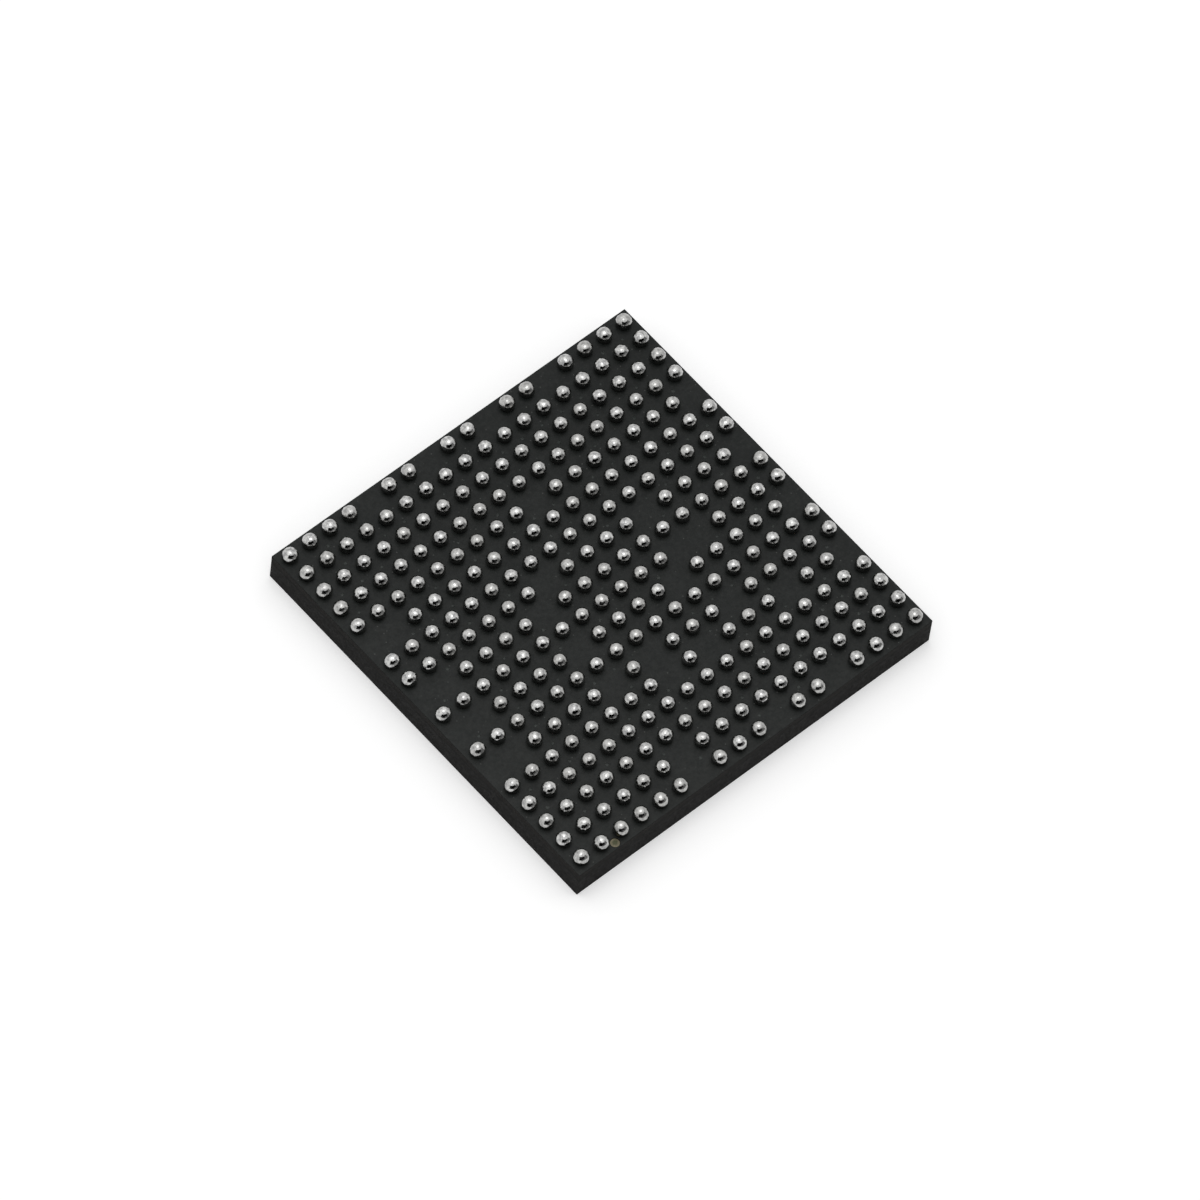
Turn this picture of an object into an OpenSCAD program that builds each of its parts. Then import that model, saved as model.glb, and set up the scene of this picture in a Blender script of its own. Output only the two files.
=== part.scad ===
// Ball grid array chip, lying on its marked face with the solder balls up.
//
// A moulded, wire-bonded package: a silicon die is glued to the underside of a
// thin laminate board, bonded to it by looped wires and cast in a moulding cap.
// The other side of the board carries a grid of reflowed solder balls, with
// some sites left empty. All lengths are in millimetres. X runs along the ball
// rows, Y across them, and Z from the marked face towards the balls. The origin
// is the centre of the marked face, and ball A1 is at the corner (-X, -Y).

/* [Package body] */
// Width of the package, along a row of balls
body_w = 11.7; // [11.6:0.1:13]
// Depth of the package, across the rows
body_d = 11.7; // [11.6:0.1:13]
// Thickness of the moulding cap, from the marked face to the board
mold_h = 0.68; // [0.55:0.01:1.1]
// Diameter of the shallow pin-one dimple in the marked face
dimple_d = 0.7; // [0.4:0.05:1]
// Depth of the pin-one dimple
dimple_h = 0.03; // [0.02:0.01:0.06]
// Distance of the dimple's centre from the two edges at corner A1
dimple_inset = 1.05; // [0.6:0.05:1.5]

/* [Laminate board] */
// Thickness of the laminate core
core_h = 0.21; // [0.1:0.01:0.4]
// Thickness of each solder mask
mask_h = 0.03; // [0.024:0.002:0.05]
// Thickness of the copper under the masks
copper_h = 0.018; // [0.01:0.001:0.02]
// Diameter of a via barrel through the core
via_d = 0.1; // [0.06:0.01:0.16]
// Diameter of the cap that closes a via on the die side
via_cap_d = 0.2; // [0.18:0.01:0.22]

/* [Ball grid] */
// Distance between neighbouring ball sites, along a row and across the rows
pitch = 0.65; // [0.64:0.005:0.66]
// Diameter of a reflowed solder ball
ball_d = 0.44; // [0.36:0.01:0.48]
// Diameter of a copper land under a ball
land_d = 0.4; // [0.34:0.01:0.44]
// Diameter of the mask opening over a land
opening_d = 0.36; // [0.24:0.01:0.38]
// Gap all round between a ball's neck and the wall of its mask opening
neck_gap = 0.004; // [0.002:0.001:0.01]

/* [Corner A1 mark] */
// Diameter of the round gold mark
mark_d = 0.24; // [0.15:0.01:0.26]
// Gap all round between the mark and the mask
mark_gap = 0.015; // [0.01:0.005:0.02]
// Distance of the mark's centre from the package edge beside row A
mark_inset = 0.16; // [0.15:0.01:0.18]
// Number of ball sites from corner A1 to the mark, along row A
mark_site = 1.5; // [1.5:1:9.5]

/* [Die] */
// Width of the silicon die
die_w = 6.2; // [5.8:0.1:6.6]
// Depth of the silicon die
die_d = 5.8; // [5.6:0.1:6.6]
// Thickness of the silicon die
die_h = 0.2; // [0.1:0.01:0.28]
// Thickness of the die-attach adhesive
attach_h = 0.025; // [0.015:0.005:0.05]
// How far the adhesive squeezes out past the die's edges
attach_edge = 0.12; // [0.05:0.01:0.3]

/* [Wire bonds] */
// Number of bond wires on each side of the die
wires_per_side = 40; // [20:2:44]
// Thickness of a bond wire
wire_t = 0.025; // [0.018:0.001:0.03]
// Distance between bond wires on the die
pad_pitch = 0.13; // [0.08:0.01:0.14]
// Distance from the die's edge to its bonds
pad_inset = 0.1; // [0.06:0.01:0.2]
// Diameter of the flattened ball that starts a wire on the die
bond_ball_d = 0.065; // [0.05:0.005:0.075]
// Height of that flattened ball
bond_ball_h = 0.012; // [0.008:0.001:0.016]
// Height of a wire loop's middle line over the face of the die
loop_h = 0.13; // [0.11:0.01:0.16]
// Radius of the bend at the top of a loop
loop_r = 0.08; // [0.04:0.01:0.09]
// Length of the wedge that ends a wire on its finger
stitch_l = 0.06; // [0.04:0.01:0.1]
// Thickness of that wedge at its tip
stitch_h = 0.006; // [0.004:0.001:0.01]

/* [Bond fingers] */
// Distance between bond fingers along a side
finger_pitch = 0.17; // [0.15:0.01:0.19]
// Length of a bond finger
finger_l = 0.3; // [0.2:0.01:0.32]
// Width of a bond finger
finger_w = 0.08; // [0.06:0.01:0.09]
// Number of ball pitches from the package's centre to a row of fingers
finger_row = 7; // [6:1:8]
// How far a mask window reaches past its fingers, on every side
window_edge = 0.04; // [0.03:0.01:0.05]

/* [Hidden] */
// The ball map, seen with the balls towards the viewer and corner A1 at the
// lower left: "o" is a ball and "." an empty site. The first line is row V.
BALL_MAP = [
    "oooo.oo.oo.oo.oooo",
    "oooooooooooooooooo",
    "oooooooooooooooooo",
    "oooooooooooooooooo",
    "ooooooooo.ooooooo.",
    "..oooooooooooooooo",
    "oooooooooooooooooo",
    "ooooooo.oooo.oooo.",
    "..oooo.ooooooooooo",
    "oooooooooooo..oooo",
    "..oooo.oooo.ooooo.",
    "oooooooooooooooooo",
    "..oooo.o.ooo.ooooo",
    "oooooooo.o.ooo.oo.",
    "oooooooooooooooooo",
    "oooooooooooooooooo",
    "oooooo.ooooooooooo",
    "oooooo.ooo.oo.oooo",
];
// Names of the ball rows, in the order of the ball map
ROW_NAMES = ["v", "u", "t", "r", "p", "n", "m", "l", "k", "j", "h", "g", "f", "e", "d", "c", "b", "a"];
rows = len(BALL_MAP);
columns = len(BALL_MAP[0]);

// Heights of the layers, from the marked face up
die_mask_z = mold_h;
core_z = die_mask_z + mask_h;
ball_mask_z = core_z + core_h;
face_z = ball_mask_z + mask_h;
land_top_z = ball_mask_z + copper_h;
finger_face_z = core_z - copper_h;
die_top_z = mold_h - attach_h;
die_face_z = die_top_z - die_h;

// A ball is a sphere that narrows to its neck where it leaves the mask
neck_d = opening_d - 2 * neck_gap;
ball_centre_z = face_z + sqrt(pow(ball_d / 2, 2) - pow(neck_d / 2, 2));

// A loop's own heights, measured from the face of the fingers
wire_r = wire_t / 2;
loop_foot = finger_face_z - die_face_z + bond_ball_h;
loop_top = finger_face_z - die_face_z + loop_h;
finger_x = finger_row * pitch;

// Overshoot of a cutting tool past the face it cuts
cut = 0.05;
$fn = 48;

// ---- where things are ----

function column_x(column) = (column - (columns - 1) / 2) * pitch;
function row_y(row) = ((rows - 1) / 2 - row) * pitch;
// Place of number k in an evenly spaced line that is centred on zero
function in_line(k, spacing) = (k - (wires_per_side - 1) / 2) * spacing;

// Puts its children at each ball of one row, or of all rows
module at_balls(some_rows = [0 : rows - 1]) {
    for (row = some_rows, column = [0 : columns - 1])
        if (BALL_MAP[row][column] == "o")
            translate([column_x(column), row_y(row)]) children();
}

// Puts its children at the corner A1 mark
module at_mark() {
    translate([column_x(mark_site), -body_d / 2 + mark_inset]) children();
}

// A slab of the board, of the package's full size
module slab(z, h) {
    translate([-body_w / 2, -body_d / 2, z]) cube([body_w, body_d, h]);
}

// ---- wire bonds ----

// One side of a loop's outline, offset from its middle line by d: the bend at
// the top, and the long fall to the finger, which is a parabola
function bend_side(d) = [
    for (a = [0 : 45 : 90])
        [loop_r - (loop_r + d) * cos(a), loop_top - loop_r + (loop_r + d) * sin(a)]
];
function fall_side(span, d) = [
    for (s = [0.2 : 0.2 : 1])
        let (
            run = span - loop_r,
            drop = loop_top - wire_r,
            slope = 2 * drop * s / run,
            reach = d / sqrt(1 + slope * slope)
        )
        [loop_r + run * s + slope * reach, wire_r + drop * (1 - s * s) + reach]
];
function reversed(list) = [for (k = [len(list) - 1 : -1 : 0]) list[k]];

// A wire seen from its side: out along X, and up from the face of the fingers
module wire_outline(span) {
    polygon(concat(
        [[-wire_r, loop_foot]],
        bend_side(wire_r),
        fall_side(span, wire_r),
        [[span + stitch_l, stitch_h], [span + stitch_l, 0], [span, 0]],
        reversed(fall_side(span, -wire_r)),
        reversed(bend_side(-wire_r)),
        [[wire_r, loop_foot]]
    ));
}

// A wire that starts at the origin of X and Y and ends span away along X
module bond_wire(span) {
    translate([0, 0, finger_face_z]) rotate([-90, 0, 0])
        linear_extrude(height = wire_t, center = true) wire_outline(span);
    translate([0, 0, die_face_z - bond_ball_h]) cylinder(d = bond_ball_d, h = bond_ball_h);
}

// The wires on the side that faces +X, from a die edge at edge_x
module side_wires(edge_x) {
    pad_x = edge_x - pad_inset;
    for (k = [0 : wires_per_side - 1]) {
        reach = [finger_x - pad_x, in_line(k, finger_pitch - pad_pitch)];
        translate([pad_x, in_line(k, pad_pitch)])
            rotate(atan2(reach.y, reach.x)) bond_wire(norm(reach) - stitch_l / 2);
    }
}

// The fingers on the side that faces +X, each in line with its wire
module side_fingers(edge_x) {
    pad_x = edge_x - pad_inset;
    for (k = [0 : wires_per_side - 1])
        translate([finger_x, in_line(k, finger_pitch), finger_face_z])
            rotate(atan2(in_line(k, finger_pitch - pad_pitch), finger_x - pad_x))
                translate([-finger_l / 2, -finger_w / 2]) cube([finger_l, finger_w, copper_h]);
}

module right_wires() { side_wires(die_w / 2); }
module back_wires() { rotate(90) side_wires(die_d / 2); }
module left_wires() { rotate(180) side_wires(die_w / 2); }
module front_wires() { rotate(270) side_wires(die_d / 2); }

module all_fingers() {
    for (turn = [0, 180]) rotate(turn) side_fingers(die_w / 2);
    for (turn = [90, 270]) rotate(turn) side_fingers(die_d / 2);
}

// The four windows that bare the fingers, through the die-side mask
module bond_windows(z, h) {
    across = finger_l + 2 * window_edge;
    along = (wires_per_side - 1) * finger_pitch + finger_l + 2 * window_edge;
    for (turn = [0 : 90 : 270])
        rotate(turn) translate([finger_x - across / 2, -along / 2, z]) cube([across, along, h]);
}

// ---- die ----

module die_body() {
    translate([-die_w / 2, -die_d / 2, die_face_z]) cube([die_w, die_d, die_h]);
}

module attach_body() {
    w = die_w + 2 * attach_edge;
    d = die_d + 2 * attach_edge;
    translate([-w / 2, -d / 2, die_top_z]) cube([w, d, attach_h]);
}

// ---- nodes ----

// The cap is cast round the die, the wires and the bared fingers
module mold_cap() {
    color([0.13, 0.13, 0.135]) difference() {
        union() {
            slab(0, mold_h);
            bond_windows(mold_h - cut, cut + mask_h);
        }
        translate([-body_w / 2 + dimple_inset, -body_d / 2 + dimple_inset, -cut])
            cylinder(d = dimple_d, h = dimple_h + cut);
        die_body();
        attach_body();
        right_wires();
        back_wires();
        left_wires();
        front_wires();
        all_fingers();
    }
}

module die() {
    color([0.45, 0.46, 0.5]) die_body();
}

module die_attach() {
    color([0.75, 0.72, 0.62]) attach_body();
}

module bond_wires(side) {
    color([0.9, 0.72, 0.3]) {
        if (side == "right") right_wires();
        if (side == "back") back_wires();
        if (side == "left") left_wires();
        if (side == "front") front_wires();
    }
}

module bond_fingers() {
    color([0.85, 0.65, 0.3]) all_fingers();
}

// The mask on the die side covers the via caps and leaves the fingers bare
module die_side_mask() {
    color([0.17, 0.18, 0.17]) difference() {
        slab(die_mask_z, mask_h);
        bond_windows(die_mask_z - cut, mask_h + 2 * cut);
        at_balls() translate([0, 0, finger_face_z]) cylinder(d = via_cap_d, h = copper_h + cut);
    }
}

module laminate_core() {
    color([0.16, 0.15, 0.13]) difference() {
        slab(core_z, core_h);
        at_balls() translate([0, 0, core_z - cut]) cylinder(d = via_d, h = core_h + 2 * cut);
    }
}

// A land, the via barrel under its middle and the cap on the die side are
// plated as one piece of copper
module copper_lands() {
    color([0.8, 0.5, 0.3]) at_balls() {
        translate([0, 0, ball_mask_z]) cylinder(d = land_d, h = copper_h);
        translate([0, 0, core_z]) cylinder(d = via_d, h = core_h);
        translate([0, 0, finger_face_z]) cylinder(d = via_cap_d, h = copper_h);
    }
}

// The mask on the ball side laps over the rim of each land
module ball_side_mask() {
    color([0.17, 0.18, 0.17]) difference() {
        slab(ball_mask_z, mask_h);
        at_balls() {
            translate([0, 0, ball_mask_z - cut]) cylinder(d = land_d, h = copper_h + cut);
            translate([0, 0, ball_mask_z]) cylinder(d = opening_d, h = mask_h + cut);
        }
        at_mark() translate([0, 0, ball_mask_z - cut])
            cylinder(d = mark_d + 2 * mark_gap, h = mask_h + 2 * cut);
    }
}

module a1_mark() {
    color([0.5, 0.45, 0.3]) at_mark() translate([0, 0, ball_mask_z])
        cylinder(d = mark_d, h = copper_h);
}

// A reflowed ball: its neck fills the mask opening down to the land
module solder_ball() {
    translate([0, 0, land_top_z]) cylinder(d = neck_d, h = face_z - land_top_z);
    difference() {
        translate([0, 0, ball_centre_z]) sphere(d = ball_d);
        translate([-ball_d, -ball_d, face_z - ball_d]) cube([2 * ball_d, 2 * ball_d, ball_d]);
    }
}

module ball_row(row) {
    color([0.8, 0.8, 0.8]) at_balls([row]) solder_ball();
}

mold_cap();
die();
die_attach();
bond_wires("right");  // bond_wires_right
bond_wires("back");  // bond_wires_back
bond_wires("left");  // bond_wires_left
bond_wires("front");  // bond_wires_front
bond_fingers();
die_side_mask();
laminate_core();
copper_lands();
ball_side_mask();
a1_mark();
for (row = [0 : rows - 1])
    ball_row(row);
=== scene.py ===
"""Ball grid array chip, lying marked face down with its solder balls up."""

import math

import bpy
from mathutils import Matrix, Vector


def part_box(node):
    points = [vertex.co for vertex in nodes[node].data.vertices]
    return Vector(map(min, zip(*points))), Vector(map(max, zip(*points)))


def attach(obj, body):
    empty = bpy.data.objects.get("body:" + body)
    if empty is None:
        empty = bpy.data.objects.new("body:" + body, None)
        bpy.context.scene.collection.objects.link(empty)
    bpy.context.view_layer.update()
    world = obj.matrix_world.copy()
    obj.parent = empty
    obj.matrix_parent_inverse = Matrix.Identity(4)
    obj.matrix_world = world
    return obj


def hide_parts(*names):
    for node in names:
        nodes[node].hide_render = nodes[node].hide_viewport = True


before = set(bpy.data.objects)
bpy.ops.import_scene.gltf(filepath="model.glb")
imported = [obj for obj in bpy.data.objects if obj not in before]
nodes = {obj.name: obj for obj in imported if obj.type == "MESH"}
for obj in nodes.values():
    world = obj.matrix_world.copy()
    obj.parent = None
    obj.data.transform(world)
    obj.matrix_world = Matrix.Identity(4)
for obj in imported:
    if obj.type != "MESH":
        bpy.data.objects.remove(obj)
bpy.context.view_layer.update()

MM = 0.001

# ---------------------------------------------------------------- sizes, in metres

BALL_ROWS = sorted(name for name in nodes if name.startswith("balls_row_"))
mask_low, mask_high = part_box("ball_side_mask")
FACE_Z = mask_high.z
BODY_HALF = mask_high.x
row_low, row_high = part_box(BALL_ROWS[0])
LAND_TOP_Z = row_low.z
BALL_TOP_Z = row_high.z
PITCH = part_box(BALL_ROWS[1])[0].y - row_low.y
# How far below the highest of a row's vertices the top of another of its balls may lie
TOP_SLACK = 0.0004 * MM


def ball_sites():
    """Where each ball of the CAD rows meets the mask: the spot under its highest vertex."""
    found = []
    for name in BALL_ROWS:
        tops = {
            (round(v.co.x / MM, 3), round(v.co.y / MM, 3))
            for v in nodes[name].data.vertices
            if v.co.z > BALL_TOP_Z - TOP_SLACK
        }
        found += sorted(tops)
    return [Vector((x * MM, y * MM, FACE_Z)) for x, y in found]


def neck_size(site):
    """Radius of the neck that stands on the land under that site of the first row."""
    flat = [(v.co - site).xy.length for v in nodes[BALL_ROWS[0]].data.vertices if v.co.z < FACE_Z]
    return max(reach for reach in flat if reach < PITCH / 2)


sites = ball_sites()
NECK_RADIUS = neck_size(sites[0])
BALL_HEIGHT = BALL_TOP_Z - FACE_Z
# A ball is a sphere cut by the mask's plane in a circle of the neck's radius.
BALL_RADIUS = (NECK_RADIUS**2 + BALL_HEIGHT**2) / (2 * BALL_HEIGHT)


# ---------------------------------------------------------------- node helpers


def add_node(tree, kind, inputs=None, **settings):
    """A new node. inputs gives sockets, by name or number, a value or another node's output."""
    made = tree.nodes.new(kind)
    for name, value in settings.items():
        setattr(made, name, value)
    for key, value in (inputs or {}).items():
        if isinstance(value, bpy.types.NodeSocket):
            tree.links.new(value, made.inputs[key])
        else:
            made.inputs[key].default_value = value
    return made


def calc(tree, operation, *values):
    """The result of one Math node."""
    made = add_node(tree, "ShaderNodeMath", dict(enumerate(values)), operation=operation)
    return made.outputs[0]


def axes_of(tree, vector):
    """The X, Y and Z of a vector, as three outputs."""
    return add_node(tree, "ShaderNodeSeparateXYZ", {0: vector}).outputs


def mesh_point(tree):
    """The X, Y and Z of each point of the mesh that the node is used on."""
    return axes_of(tree, add_node(tree, "GeometryNodeInputPosition").outputs[0])


def squared_reach(tree, spot):
    """Square of a point's distance from the Z axis."""
    return calc(tree, "ADD", calc(tree, "POWER", spot[0], 2.0), calc(tree, "POWER", spot[1], 2.0))


def random_value(tree, given, draw, low=0.0, high=1.0):
    """A random number for each point. Each draw of one tree has a number of its own."""
    seed = calc(tree, "ADD", given["Seed"], draw)
    inputs = {2: low, 3: high, "Seed": seed}
    return add_node(tree, "FunctionNodeRandomValue", inputs, data_type="FLOAT").outputs[1]


# ---------------------------------------------------------------- finishes


def grey(level):
    return (level, level, level, 1.0)


def rgb(red, green, blue):
    return (red, green, blue, 1.0)


def start_finish(name):
    """A new material with only its shader, and the object's own coordinates in metres."""
    material = bpy.data.materials.new(name)
    material.use_nodes = True
    tree = material.node_tree
    tree.nodes.clear()
    shader = add_node(tree, "ShaderNodeBsdfPrincipled")
    output = add_node(tree, "ShaderNodeOutputMaterial")
    tree.links.new(shader.outputs["BSDF"], output.inputs["Surface"])
    place = add_node(tree, "ShaderNodeTexCoord").outputs["Object"]
    return material, tree, shader, place


def scaled(tree, place, per_mm, offset=(0.0, 0.0, 0.0)):
    """Coordinates with that many cells to a millimetre, along each axis."""
    if isinstance(per_mm, (int, float)):
        per_mm = (per_mm,) * 3
    stretch = add_node(
        tree,
        "ShaderNodeMapping",
        {"Vector": place, "Scale": [cells / MM for cells in per_mm], "Location": offset},
    )
    return stretch.outputs["Vector"]


def noise(tree, place, per_mm, detail=4.0, roughness=0.55, offset=(0.0, 0.0, 0.0)):
    """Cloudy noise from 0 to 1."""
    made = add_node(
        tree,
        "ShaderNodeTexNoise",
        {
            "Vector": scaled(tree, place, per_mm, offset),
            "Scale": 1.0,
            "Detail": detail,
            "Roughness": roughness,
        },
    )
    return made.outputs["Fac"]


def grains(tree, place, per_mm, feature="F1", randomness=1.0, offset=(0.0, 0.0, 0.0)):
    """Distance from the nearest of many scattered grains."""
    made = add_node(
        tree,
        "ShaderNodeTexVoronoi",
        {
            "Vector": scaled(tree, place, per_mm, offset),
            "Scale": 1.0,
            "Randomness": randomness,
        },
        feature=feature,
    )
    return made


def between(tree, value, low, high, to_low=0.0, to_high=1.0):
    """value carried from the range low-high to the range to_low-to_high, and held there."""
    made = add_node(
        tree,
        "ShaderNodeMapRange",
        {
            "Value": value,
            "From Min": low,
            "From Max": high,
            "To Min": to_low,
            "To Max": to_high,
        },
        clamp=True,
    )
    return made.outputs["Result"]


def chosen_grains(tree, cells, low, high):
    """1 for the few cells whose own random colour is high, and 0 for the others."""
    red = add_node(tree, "ShaderNodeSeparateColor", {"Color": cells.outputs["Color"]}).outputs[0]
    return between(tree, red, low, high)


def blend_colour(tree, share, first, second, how="MIX"):
    """first where share is 0 and second where it is 1."""
    made = add_node(tree, "ShaderNodeMix", data_type="RGBA", blend_type=how)
    for socket, value in ((0, share), (6, first), (7, second)):
        if isinstance(value, bpy.types.NodeSocket):
            tree.links.new(value, made.inputs[socket])
        else:
            made.inputs[socket].default_value = value
    return made.outputs[2]


def relief(tree, shader, height, depth, under=None):
    """Bump of that depth, in metres, on top of the relief under it."""
    inputs = {"Height": height, "Distance": depth, "Strength": 1.0}
    if under is not None:
        inputs["Normal"] = under
    made = add_node(tree, "ShaderNodeBump", inputs)
    tree.links.new(made.outputs["Normal"], shader.inputs["Normal"])
    return made.outputs["Normal"]


def set_shader(tree, shader, **values):
    for name, value in values.items():
        socket = shader.inputs[name.replace("_", " ")]
        if isinstance(value, bpy.types.NodeSocket):
            tree.links.new(value, socket)
        else:
            socket.default_value = value


def moulding_compound_finish():
    """Black epoxy full of fine glass filler, with the saw's streaks along its cut sides."""
    material, tree, shader, place = start_finish("moulding_compound")
    cloud = noise(tree, place, 1.6, detail=5.0)
    base = blend_colour(tree, cloud, rgb(0.0060, 0.0059, 0.0057), rgb(0.0125, 0.0122, 0.0116))
    filler = grains(tree, place, 26.0)
    speck = between(tree, filler.outputs["Distance"], 0.12, 0.26, 1.0, 0.0)
    chosen = chosen_grains(tree, filler, 0.62, 0.7)
    base = blend_colour(tree, calc(tree, "MULTIPLY", speck, chosen), base, rgb(0.035, 0.0343, 0.0322))
    streaks = noise(tree, place, (1.4, 1.4, 55.0), detail=3.0)
    base = blend_colour(
        tree, between(tree, streaks, 0.5, 0.72, 0.0, 0.35), base, rgb(0.021, 0.0204, 0.0192)
    )
    rough = between(tree, noise(tree, place, 9.0), 0.3, 0.7, 0.58, 0.78)
    set_shader(tree, shader, Base_Color=base, Roughness=rough, Specular_IOR_Level=0.06)
    cut = relief(tree, shader, streaks, 5e-6)
    relief(tree, shader, noise(tree, place, 34.0, detail=3.0), 5e-6, cut)
    return material


def laminate_finish():
    """Brown-black resin board: the cut ends of its glass bundles lie in two plies."""
    material, tree, shader, place = start_finish("laminate_edge")
    bundles = grains(tree, place, (2.4, 2.4, 11.0), feature="SMOOTH_F1", randomness=0.7)
    glass = between(tree, bundles.outputs["Distance"], 0.2, 0.55, 1.0, 0.0)
    cloud = noise(tree, place, 3.0, detail=5.0)
    resin = blend_colour(tree, cloud, rgb(0.0075, 0.0072, 0.0067), rgb(0.0140, 0.0132, 0.0120))
    base = blend_colour(
        tree, calc(tree, "MULTIPLY", glass, 0.5), resin, rgb(0.018, 0.0169, 0.0151)
    )
    fray = noise(tree, place, (30.0, 30.0, 60.0), detail=2.0)
    base = blend_colour(
        tree, between(tree, fray, 0.62, 0.75, 0.0, 0.4), base, rgb(0.032, 0.0299, 0.0263)
    )
    rough = between(tree, fray, 0.3, 0.7, 0.6, 0.8)
    set_shader(tree, shader, Base_Color=base, Roughness=rough, Specular_IOR_Level=0.06)
    weave = relief(tree, shader, glass, 4e-6)
    relief(tree, shader, fray, 4e-6, weave)
    return material


def solder_mask_finish(name, painted_glint_lift=1.0):
    """Satin black-green lacquer with a painted sheen that lightens it towards corner A1; matt where the saw
    cut it, and darkened there by painted shade.

    The last argument says how many times lighter than that it is; above 1 it is a painted glint.
    """
    material, tree, shader, place = start_finish(name)
    spot = axes_of(tree, place)
    # Painted sheen: the lacquer is made lighter along a diagonal, most towards corner A1.
    diagonal = calc(tree, "ADD", spot[0], spot[1])
    painted_sheen = between(tree, diagonal, -1.7 * BODY_HALF, 1.2 * BODY_HALF, 1.0, 0.0)
    cloud = noise(tree, place, 1.1, detail=6.0, roughness=0.65)
    smudge = noise(tree, place, 10.0, detail=5.0, roughness=0.75, offset=(5.0, 1.0, 0.0))
    mottle_and_painted_sheen = calc(
        tree,
        "ADD",
        calc(tree, "MULTIPLY", painted_sheen, 0.5),
        calc(
            tree,
            "ADD",
            between(tree, cloud, 0.3, 0.7, -0.12, 0.3),
            between(tree, smudge, 0.32, 0.68, -0.42, 0.6),
        ),
    )
    dark, light = (0.0115, 0.0132, 0.0124), (0.0262, 0.0282, 0.0268)
    base = blend_colour(
        tree,
        mottle_and_painted_sheen,
        rgb(*[painted_glint_lift * level for level in dark]),
        rgb(*[painted_glint_lift * level for level in light]),
    )
    dust = grains(tree, place, 9.0)
    fleck = between(tree, dust.outputs["Distance"], 0.05, 0.2, 1.0, 0.0)
    chosen = chosen_grains(tree, dust, 0.8, 0.86)
    base = blend_colour(
        tree, calc(tree, "MULTIPLY", fleck, chosen), base, rgb(0.085, 0.087, 0.083)
    )
    normal = axes_of(tree, add_node(tree, "ShaderNodeNewGeometry").outputs["Normal"])
    face = calc(tree, "ABSOLUTE", normal[2])
    # Painted shade: where the surface turns sideways, on the saw-cut sides, its colour is darkened towards
    # black.
    base = blend_colour(tree, between(tree, face, 0.2, 0.6, 0.35, 0.0), base, grey(0.0))
    patches = noise(tree, place, 2.6, detail=3.0, offset=(3.0, 7.0, 0.0))
    rough = between(tree, face, 0.2, 0.6, 0.75, between(tree, patches, 0.3, 0.7, 0.30, 0.42))
    gloss = between(tree, face, 0.2, 0.6, 0.03, 0.12)
    set_shader(tree, shader, Base_Color=base, Roughness=rough, Specular_IOR_Level=gloss)
    swell = relief(tree, shader, noise(tree, place, 1.7, detail=2.0), 9e-6)
    relief(tree, shader, noise(tree, place, 14.0, detail=3.0), 1.6e-6, swell)
    return material


def solder_finish():
    """Reflowed tin-silver-copper: bright, faintly frosted, no two balls alike, with painted shade on its
    lower part down to the neck.
    """
    material, tree, shader, place = start_finish("reflowed_solder")
    own = add_node(tree, "ShaderNodeAttribute", attribute_name="ball_finish").outputs["Fac"]
    frost = noise(tree, place, 11.0, detail=5.0, roughness=0.62)
    base = blend_colour(tree, between(tree, frost, 0.40, 0.62), grey(0.29), rgb(0.60, 0.60, 0.585))
    base = blend_colour(
        tree,
        between(tree, own, 0.2, 1.0, 0.0, 0.45),
        base,
        rgb(0.31, 0.305, 0.29),
    )
    oxide = between(tree, noise(tree, place, 20.0, detail=3.0), 0.62, 0.72, 0.0, 0.6)
    base = blend_colour(tree, oxide, base, rgb(0.16, 0.155, 0.145))
    height = axes_of(tree, place)[2]
    centre = FACE_Z + BALL_HEIGHT - BALL_RADIUS
    # Painted shade: the colour darkens from a fifth of the radius above the ball's middle down to the neck.
    painted_shade_low = between(tree, height, centre - 0.1 * BALL_RADIUS, centre + 0.2 * BALL_RADIUS, 1.0, 0.0)
    base = blend_colour(tree, painted_shade_low, base, rgb(0.15, 0.147, 0.14))
    rough = calc(
        tree,
        "ADD",
        between(tree, frost, 0.3, 0.7, 0.07, 0.14),
        between(tree, own, 0.3, 1.0, 0.0, 0.06),
    )
    set_shader(tree, shader, Base_Color=base, Metallic=1.0, Roughness=rough)
    dents = relief(tree, shader, noise(tree, place, 5.0, detail=2.0), 10e-6)
    relief(tree, shader, noise(tree, place, 15.0, detail=4.0, roughness=0.6), 2.5e-6, dents)
    return material


def corner_mark_finish():
    """Dull gold-plated spot, darker in its middle, tarnished olive."""
    material, tree, shader, place = start_finish("corner_mark_gold")
    low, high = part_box("a1_mark")
    middle = (low + high) / 2
    radius = (high.x - low.x) / 2
    centred = add_node(
        tree,
        "ShaderNodeVectorMath",
        {0: place, 1: (middle.x, middle.y, 0.0)},
        operation="SUBTRACT",
    ).outputs[0]
    flat = add_node(
        tree, "ShaderNodeVectorMath", {0: centred, 1: (1.0, 1.0, 0.0)}, operation="MULTIPLY"
    ).outputs[0]
    out = add_node(tree, "ShaderNodeVectorMath", {0: flat}, operation="LENGTH").outputs["Value"]
    cloud = noise(tree, place, 22.0, detail=4.0)
    wavy = calc(tree, "ADD", out, between(tree, cloud, 0.0, 1.0, -0.2 * radius, 0.2 * radius))
    ring = between(tree, wavy, 0.45 * radius, 0.9 * radius)
    base = blend_colour(tree, ring, rgb(0.060, 0.062, 0.034), rgb(0.145, 0.128, 0.085))
    base = blend_colour(tree, between(tree, cloud, 0.55, 0.7, 0.0, 0.5), base, rgb(0.22, 0.19, 0.14))
    rough = between(tree, cloud, 0.3, 0.7, 0.34, 0.55)
    set_shader(tree, shader, Base_Color=base, Metallic=0.75, Roughness=rough)
    relief(tree, shader, cloud, 3e-6)
    return material


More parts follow.
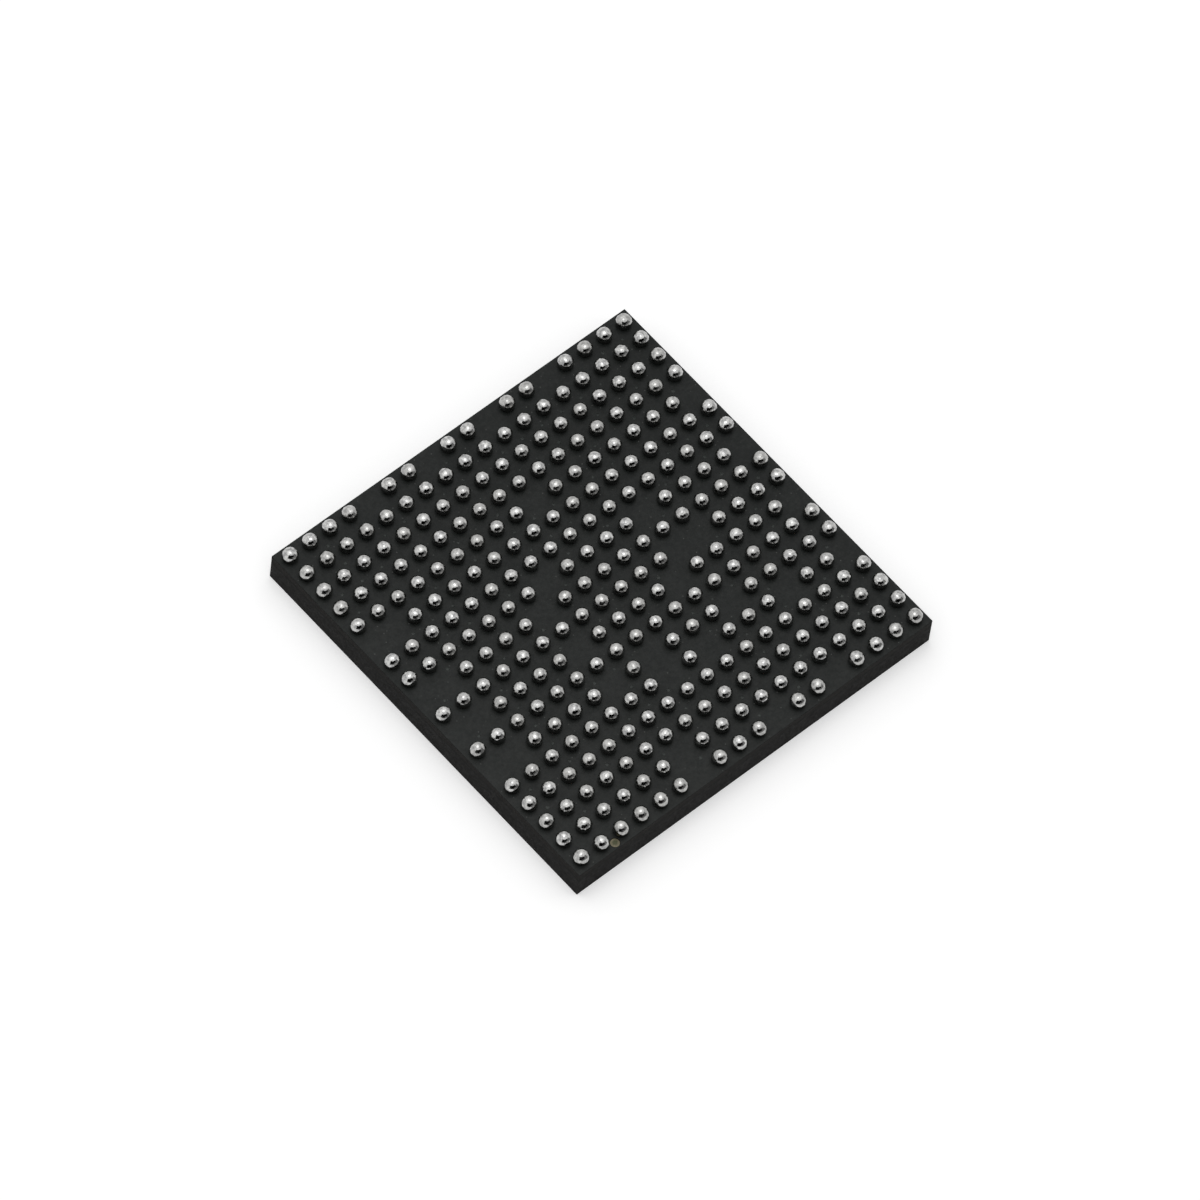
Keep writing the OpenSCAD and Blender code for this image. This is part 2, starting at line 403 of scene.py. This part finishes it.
def plated_metal_finish(name, dark, light, low_rough, high_rough):
    """Metal of the hidden copper and gold pieces: two tones in fine crystals."""
    material, tree, shader, place = start_finish(name)
    crystals = noise(tree, place, 28.0, detail=4.0)
    base = blend_colour(tree, between(tree, crystals, 0.3, 0.7), rgb(*dark), rgb(*light))
    rough = between(tree, crystals, 0.3, 0.7, low_rough, high_rough)
    set_shader(tree, shader, Base_Color=base, Metallic=1.0, Roughness=rough)
    relief(tree, shader, crystals, 1.5e-6)
    return material


def silicon_finish():
    """Ground silicon: cold grey with fine grinding lines."""
    material, tree, shader, place = start_finish("ground_silicon")
    lines = noise(tree, place, (1.5, 60.0, 8.0), detail=3.0)
    base = blend_colour(tree, between(tree, lines, 0.3, 0.7), rgb(0.09, 0.10, 0.13), rgb(0.17, 0.18, 0.21))
    set_shader(tree, shader, Base_Color=base, Roughness=between(tree, lines, 0.3, 0.7, 0.18, 0.32))
    relief(tree, shader, lines, 1e-6)
    return material


def die_paste_finish():
    """Silver-filled die-attach paste."""
    material, tree, shader, place = start_finish("die_attach_paste")
    flakes = grains(tree, place, 30.0).outputs["Distance"]
    base = blend_colour(tree, between(tree, flakes, 0.1, 0.6), grey(0.42), rgb(0.22, 0.22, 0.21))
    set_shader(tree, shader, Base_Color=base, Metallic=0.4, Roughness=0.5)
    relief(tree, shader, flakes, 3e-6)
    return material


mould_black = moulding_compound_finish()
board_brown = laminate_finish()
mask_black = solder_mask_finish("solder_mask_black")
# The via nubs' lacquer is 2.4 times lighter: a painted glint.
via_mask_with_painted_glint = solder_mask_finish("solder_mask_over_via", painted_glint_lift=2.4)
solder = solder_finish()
mark_gold = corner_mark_finish()
copper = plated_metal_finish("board_copper", (0.45, 0.19, 0.10), (0.68, 0.32, 0.19), 0.25, 0.45)
wire_gold = plated_metal_finish("bond_wire_gold", (0.72, 0.46, 0.14), (0.86, 0.62, 0.24), 0.15, 0.3)
finger_gold = plated_metal_finish("finger_gold", (0.64, 0.43, 0.16), (0.78, 0.56, 0.25), 0.2, 0.4)
silicon = silicon_finish()
paste = die_paste_finish()

NODE_FINISHES = {
    "mold_cap": mould_black,
    "laminate_core": board_brown,
    "ball_side_mask": mask_black,
    "die_side_mask": mask_black,
    "a1_mark": mark_gold,
    "copper_lands": copper,
    "bond_fingers": finger_gold,
    "bond_wires_right": wire_gold,
    "bond_wires_back": wire_gold,
    "bond_wires_left": wire_gold,
    "bond_wires_front": wire_gold,
    "die": silicon,
    "die_attach": paste,
}
for name, finish in NODE_FINISHES.items():
    nodes[name].data.materials.clear()
    nodes[name].data.materials.append(finish)


# ---------------------------------------------------------------- solder balls


def new_tree(name, sizes):
    """An empty Geometry Nodes tree whose inputs are a mesh and the named sizes."""
    tree = bpy.data.node_groups.new(name, "GeometryNodeTree")
    tree.interface.new_socket("Sites", in_out="INPUT", socket_type="NodeSocketGeometry")
    for label, kind in sizes:
        tree.interface.new_socket(label, in_out="INPUT", socket_type=kind)
    tree.interface.new_socket("Pieces", in_out="OUTPUT", socket_type="NodeSocketGeometry")
    return tree, add_node(tree, "NodeGroupInput").outputs


def close_tree(tree, geometry, finish):
    """Ends the tree in real mesh with its finish."""
    real = add_node(tree, "GeometryNodeRealizeInstances", {"Geometry": geometry}).outputs[0]
    painted = add_node(tree, "GeometryNodeSetMaterial", {"Geometry": real, "Material": finish})
    add_node(tree, "NodeGroupOutput", {0: painted.outputs[0]})


def lathe_ball(tree, given):
    """One ball from its mask plane up, with its neck in the mask's opening below.

    Its foot laps over the narrow gap between the neck and the opening.
    """
    steps, around = given["Rings"], given["Sides"]
    drum = add_node(
        tree,
        "GeometryNodeMeshCylinder",
        {"Vertices": around, "Side Segments": steps, "Fill Segments": 1, "Radius": 1.0, "Depth": 1.0},
        fill_type="TRIANGLE_FAN",
    ).outputs["Mesh"]
    spot = mesh_point(tree)
    # rim is 0 in the middle of either end and 1 elsewhere, and ring counts up from the lower end.
    rim = calc(tree, "ROUND", calc(tree, "SQRT", squared_reach(tree, spot)))
    ring = calc(tree, "ROUND", calc(tree, "MULTIPLY", calc(tree, "ADD", spot[2], 0.5), steps))
    start = calc(tree, "ARCSINE", calc(tree, "DIVIDE", given["Neck radius"], given["Ball radius"]))
    step = calc(tree, "DIVIDE", calc(tree, "SUBTRACT", math.pi, start), steps)
    turn = calc(tree, "MAXIMUM", calc(tree, "SUBTRACT", ring, rim), 0.0)
    angle = calc(tree, "ADD", start, calc(tree, "MULTIPLY", turn, step))
    reach = calc(tree, "MULTIPLY", given["Ball radius"], calc(tree, "SINE", angle))
    rise = calc(
        tree,
        "MULTIPLY",
        given["Ball radius"],
        calc(tree, "SUBTRACT", calc(tree, "COSINE", start), calc(tree, "COSINE", angle)),
    )
    neck = calc(tree, "MULTIPLY", calc(tree, "LESS_THAN", ring, 0.5), given["Neck depth"])
    at_foot = calc(tree, "COMPARE", ring, 1.0, 0.5)
    lap = calc(tree, "ADD", 1.0, calc(tree, "MULTIPLY", at_foot, given["Foot lap"]))
    reach = calc(tree, "MULTIPLY", reach, lap)
    placed = add_node(
        tree,
        "ShaderNodeCombineXYZ",
        {
            0: calc(tree, "MULTIPLY", spot[0], reach),
            1: calc(tree, "MULTIPLY", spot[1], reach),
            2: calc(tree, "SUBTRACT", rise, neck),
        },
    ).outputs[0]
    shaped = add_node(tree, "GeometryNodeSetPosition", {"Geometry": drum, "Position": placed}).outputs[0]
    return add_node(tree, "GeometryNodeSetShadeSmooth", {0: shaped, "Shade Smooth": True}).outputs[0]


def solder_ball_tree():
    """A ball at each site, each with its own turn, size and finish."""
    tree, given = new_tree(
        "solder_balls",
        [
            ("Ball radius", "NodeSocketFloat"),
            ("Neck radius", "NodeSocketFloat"),
            ("Neck depth", "NodeSocketFloat"),
            ("Foot lap", "NodeSocketFloat"),
            ("Sides", "NodeSocketInt"),
            ("Rings", "NodeSocketInt"),
            ("Size spread", "NodeSocketFloat"),
            ("Seed", "NodeSocketInt"),
        ],
    )
    ball = lathe_ball(tree, given)
    points = add_node(tree, "GeometryNodeMeshToPoints", {0: given["Sites"]}).outputs[0]
    own = random_value(tree, given, 0.0)
    points = add_node(
        tree,
        "GeometryNodeStoreNamedAttribute",
        {"Geometry": points, "Name": "ball_finish", "Value": own},
        data_type="FLOAT",
        domain="POINT",
    ).outputs[0]
    turn = add_node(
        tree,
        "FunctionNodeRandomValue",
        {1: (0.0, 0.0, 2 * math.pi), "Seed": calc(tree, "ADD", given["Seed"], 1.0)},
        data_type="FLOAT_VECTOR",
    ).outputs[0]
    smallest = calc(tree, "SUBTRACT", 1.0, given["Size spread"])
    size = random_value(tree, given, 2.0, low=smallest)
    grid = add_node(
        tree,
        "GeometryNodeInstanceOnPoints",
        {"Points": points, "Instance": ball, "Rotation": turn, "Scale": size},
    ).outputs[0]
    close_tree(tree, grid, solder)
    return tree


# Shares of a nub's height: how deep its foot lies in the mask, and how high its rim stands
NUB_SUNK = 0.5
NUB_RIM = 0.02


def via_nub_tree():
    """Low bumps of the mask at half-pitch places, where it tents over a via."""
    tree, given = new_tree(
        "via_nubs",
        [
            ("Half pitch", "NodeSocketFloat"),
            ("Board half width", "NodeSocketFloat"),
            ("Nub radius", "NodeSocketFloat"),
            ("Nub height", "NodeSocketFloat"),
            ("Share kept", "NodeSocketFloat"),
            ("Seed", "NodeSocketInt"),
        ],
    )
    points = add_node(tree, "GeometryNodeMeshToPoints", {0: given["Sites"]}).outputs[0]
    sides = []
    for number in (0.0, 1.0):
        toss = random_value(tree, given, number)
        sides.append(
            calc(tree, "MULTIPLY", calc(tree, "SIGN", calc(tree, "SUBTRACT", toss, 0.5)), given["Half pitch"])
        )
    aside = add_node(tree, "ShaderNodeCombineXYZ", {0: sides[0], 1: sides[1]}).outputs[0]
    points = add_node(tree, "GeometryNodeSetPosition", {"Geometry": points, "Offset": aside}).outputs[0]
    points = add_node(
        tree, "GeometryNodeMergeByDistance", {"Geometry": points, "Distance": given["Half pitch"]}
    ).outputs[0]
    spot = mesh_point(tree)
    furthest = calc(tree, "MAXIMUM", calc(tree, "ABSOLUTE", spot[0]), calc(tree, "ABSOLUTE", spot[1]))
    limit = calc(tree, "SUBTRACT", given["Board half width"], given["Half pitch"])
    outside = calc(tree, "GREATER_THAN", furthest, limit)
    luck = random_value(tree, given, 2.0)
    left_out = calc(tree, "MAXIMUM", outside, calc(tree, "GREATER_THAN", luck, given["Share kept"]))
    points = add_node(
        tree, "GeometryNodeDeleteGeometry", {"Geometry": points, "Selection": left_out}, domain="POINT"
    ).outputs[0]
    drum = add_node(
        tree,
        "GeometryNodeMeshCylinder",
        {"Vertices": 10, "Side Segments": 1, "Fill Segments": 2, "Radius": 1.0, "Depth": 1.0},
        fill_type="TRIANGLE_FAN",
    ).outputs["Mesh"]
    place = mesh_point(tree)
    dome = calc(tree, "MAXIMUM", calc(tree, "SUBTRACT", 1.0, squared_reach(tree, place)), 0.0)
    crown = calc(tree, "MULTIPLY", dome, given["Nub height"])
    foot = calc(tree, "MULTIPLY", given["Nub height"], -NUB_SUNK)
    top = calc(tree, "GREATER_THAN", place[2], 0.0)
    rim = calc(tree, "MULTIPLY", given["Nub height"], NUB_SUNK + NUB_RIM)
    height = calc(tree, "ADD", foot, calc(tree, "MULTIPLY", top, calc(tree, "ADD", crown, rim)))
    shaped = add_node(
        tree,
        "GeometryNodeSetPosition",
        {
            "Geometry": drum,
            "Position": add_node(
                tree,
                "ShaderNodeCombineXYZ",
                {
                    0: calc(tree, "MULTIPLY", place[0], given["Nub radius"]),
                    1: calc(tree, "MULTIPLY", place[1], given["Nub radius"]),
                    2: height,
                },
            ).outputs[0],
        },
    ).outputs[0]
    smooth = add_node(tree, "GeometryNodeSetShadeSmooth", {0: shaped, "Shade Smooth": True}).outputs[0]
    size = random_value(tree, given, 3.0, low=0.7)
    field = add_node(
        tree, "GeometryNodeInstanceOnPoints", {"Points": points, "Instance": smooth, "Scale": size}
    ).outputs[0]
    # The nubs take the lighter lacquer, whose extra lightness is a painted glint.
    close_tree(tree, field, via_mask_with_painted_glint)
    return tree


def grown(name, tree, sites, **sizes):
    """The tree's mesh around those sites, as one plain mesh object."""
    seed_mesh = bpy.data.meshes.new(name + "_sites")
    seed_mesh.from_pydata([tuple(site) for site in sites], [], [])
    grower = bpy.data.objects.new(name + "_grower", seed_mesh)
    bpy.context.scene.collection.objects.link(grower)
    modifier = grower.modifiers.new("nodes", "NODES")
    modifier.node_group = tree
    sockets = {
        item.name.replace(" ", "_").lower(): item.identifier
        for item in tree.interface.items_tree
        if item.in_out == "INPUT"
    }
    for label, value in sizes.items():
        modifier[sockets[label]] = value
    evaluated = grower.evaluated_get(bpy.context.evaluated_depsgraph_get())
    mesh = bpy.data.meshes.new_from_object(evaluated)
    bpy.data.objects.remove(grower)
    bpy.data.meshes.remove(seed_mesh)
    mesh.name = name
    made = bpy.data.objects.new(name, mesh)
    bpy.context.scene.collection.objects.link(made)
    return made


balls = grown(
    "solder_balls",
    solder_ball_tree(),
    sites,
    ball_radius=BALL_RADIUS,
    neck_radius=NECK_RADIUS,
    neck_depth=FACE_Z - LAND_TOP_Z,
    foot_lap=0.075,
    sides=12,
    rings=5,
    size_spread=0.025,
    seed=11,
)
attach(balls, "root")
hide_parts(*BALL_ROWS)

nubs = grown(
    "tented_via_nubs",
    via_nub_tree(),
    sites,
    half_pitch=PITCH / 2,
    board_half_width=BODY_HALF,
    nub_radius=0.055 * MM,
    nub_height=0.007 * MM,
    share_kept=0.5,
    seed=5,
)
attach(nubs, "root")


# ---------------------------------------------------------------- floor, light and camera


def direction(azimuth, elevation):
    """Unit vector from the chip towards a point that far round and up, in degrees."""
    a, e = math.radians(azimuth), math.radians(elevation)
    return Vector((math.sin(a) * math.cos(e), -math.cos(a) * math.cos(e), math.sin(e)))


def sheet_object(name, corners, faces, finish):
    """A sheet that belongs to the stage and not to the chip."""
    mesh = bpy.data.meshes.new(name)
    mesh.from_pydata(corners, [], faces)
    mesh.materials.append(finish)
    made = bpy.data.objects.new(name, mesh)
    bpy.context.scene.collection.objects.link(made)
    return made


def seen_directly(tree):
    """1 for camera, glossy and transmission rays, 0 for the rays that only bring light."""
    path = add_node(tree, "ShaderNodeLightPath").outputs
    return calc(
        tree,
        "MAXIMUM",
        path["Is Camera Ray"],
        calc(tree, "MAXIMUM", path["Is Glossy Ray"], path["Is Transmission Ray"]),
    )


def floor_finish():
    """Pale matt floor that keeps the shadow on it."""
    material, tree, shader, _ = start_finish("pale_floor")
    set_shader(
        tree,
        shader,
        Base_Color=grey(0.9),
        Roughness=0.9,
        Specular_IOR_Level=0.0,
        Emission_Color=grey(1.0),
        Emission_Strength=calc(tree, "MULTIPLY", seen_directly(tree), FLOOR_GLOW),
    )
    return material


def screen_finish(name, level):
    """A sheet of that even grey, whatever lights it."""
    material, tree, shader, _ = start_finish(name)
    set_shader(
        tree,
        shader,
        Base_Color=grey(0.0),
        Specular_IOR_Level=0.0,
        Emission_Color=grey(level),
        Emission_Strength=1.0,
    )
    return material


FLOOR_HALF = 0.8
FLOOR_Z = -2e-6
FLOOR_GLOW = 0.34
sheet_object(
    "floor",
    [(x * FLOOR_HALF, y * FLOOR_HALF, FLOOR_Z) for x, y in ((-1, -1), (1, -1), (1, 1), (-1, 1))],
    [(0, 1, 2, 3)],
    floor_finish(),
)


def add_screen(name, left, right, low, high, distance, level):
    """A grey band of sky between two azimuths and two elevations, which only mirrors see."""
    steps = 8
    corners = [
        distance
        * direction(left + (right - left) * across / steps, low + (high - low) * up / steps)
        for across in range(steps + 1)
        for up in range(steps + 1)
    ]
    row = steps + 1
    faces = [
        (n, n + row, n + row + 1, n + 1)
        for across in range(steps)
        for n in range(across * row, across * row + steps)
    ]
    screen = sheet_object(name, corners, faces, screen_finish(name, level))
    screen.visible_camera = False
    screen.visible_diffuse = False
    screen.visible_shadow = False
    screen.visible_transmission = False


# The balls mirror these, and so each has a dark crescent low on the side nearest the camera.
add_screen("dark_screen", left=-77.0, right=16.0, low=23.0, high=51.0, distance=0.50, level=0.0)
add_screen("dim_screen", left=-74.0, right=-20.0, low=3.0, high=24.0, distance=0.55, level=0.02)
add_screen("grey_screen", left=-20.0, right=52.0, low=3.0, high=44.0, distance=0.60, level=0.26)


def add_lamp(name, azimuth, elevation, distance, radius, watts):
    """A round soft lamp aimed at the chip."""
    data = bpy.data.lights.new(name, "AREA")
    data.shape = "DISK"
    data.size = 2 * radius
    data.energy = watts
    lamp = bpy.data.objects.new(name, data)
    towards = direction(azimuth, elevation)
    lamp.location = towards * distance
    lamp.rotation_euler = towards.to_track_quat("Z", "Y").to_euler()
    lamp.visible_camera = False
    bpy.context.scene.collection.objects.link(lamp)


# A small lamp inside the glow of a broad one: the highlight on a ball fades towards its rim.
add_lamp("soft_key", azimuth=-168.0, elevation=84.0, distance=0.14, radius=0.042, watts=0.027)
add_lamp("broad_key", azimuth=-165.0, elevation=80.0, distance=0.14, radius=0.130, watts=0.060)

# The world is dimmer as a light than where it is seen or mirrored.
FILL_STRENGTH = 0.50
BACKDROP_STRENGTH = 1.0
world = bpy.data.worlds.new("studio")
bpy.context.scene.world = world
world.use_nodes = True
sky = world.node_tree
sky.nodes.clear()
fill = add_node(sky, "ShaderNodeBackground", {"Color": grey(1.0), "Strength": FILL_STRENGTH})
backdrop = add_node(sky, "ShaderNodeBackground", {"Color": grey(1.0), "Strength": BACKDROP_STRENGTH})
chosen = add_node(
    sky,
    "ShaderNodeMixShader",
    {0: seen_directly(sky), 1: fill.outputs[0], 2: backdrop.outputs[0]},
)
add_node(sky, "ShaderNodeOutputWorld", {"Surface": chosen.outputs[0]})


def add_camera(target, azimuth, elevation, roll, distance, lens):
    """A camera that far round, up and away from target, turned by roll about its own line of sight."""
    back = direction(azimuth, elevation)
    level = Vector((math.cos(math.radians(azimuth)), math.sin(math.radians(azimuth)), 0.0))
    right = math.cos(math.radians(roll)) * level + math.sin(math.radians(roll)) * back.cross(level)
    up = back.cross(right)
    data = bpy.data.cameras.new("camera")
    data.lens = lens
    data.sensor_width = 36.0
    data.clip_start = 0.005
    data.clip_end = 20.0
    camera = bpy.data.objects.new("camera", data)
    axes = Matrix((right, up, back)).transposed().to_4x4()
    camera.matrix_world = Matrix.Translation(Vector(target) + back * distance) @ axes
    bpy.context.scene.collection.objects.link(camera)
    bpy.context.scene.camera = camera


add_camera(
    target=(-0.266 * MM, -0.214 * MM, FACE_Z),
    azimuth=-48.293,
    elevation=58.835,
    roll=8.392,
    distance=0.31548,
    lens=380.11,
)

bpy.context.scene.view_settings.view_transform = "Standard"
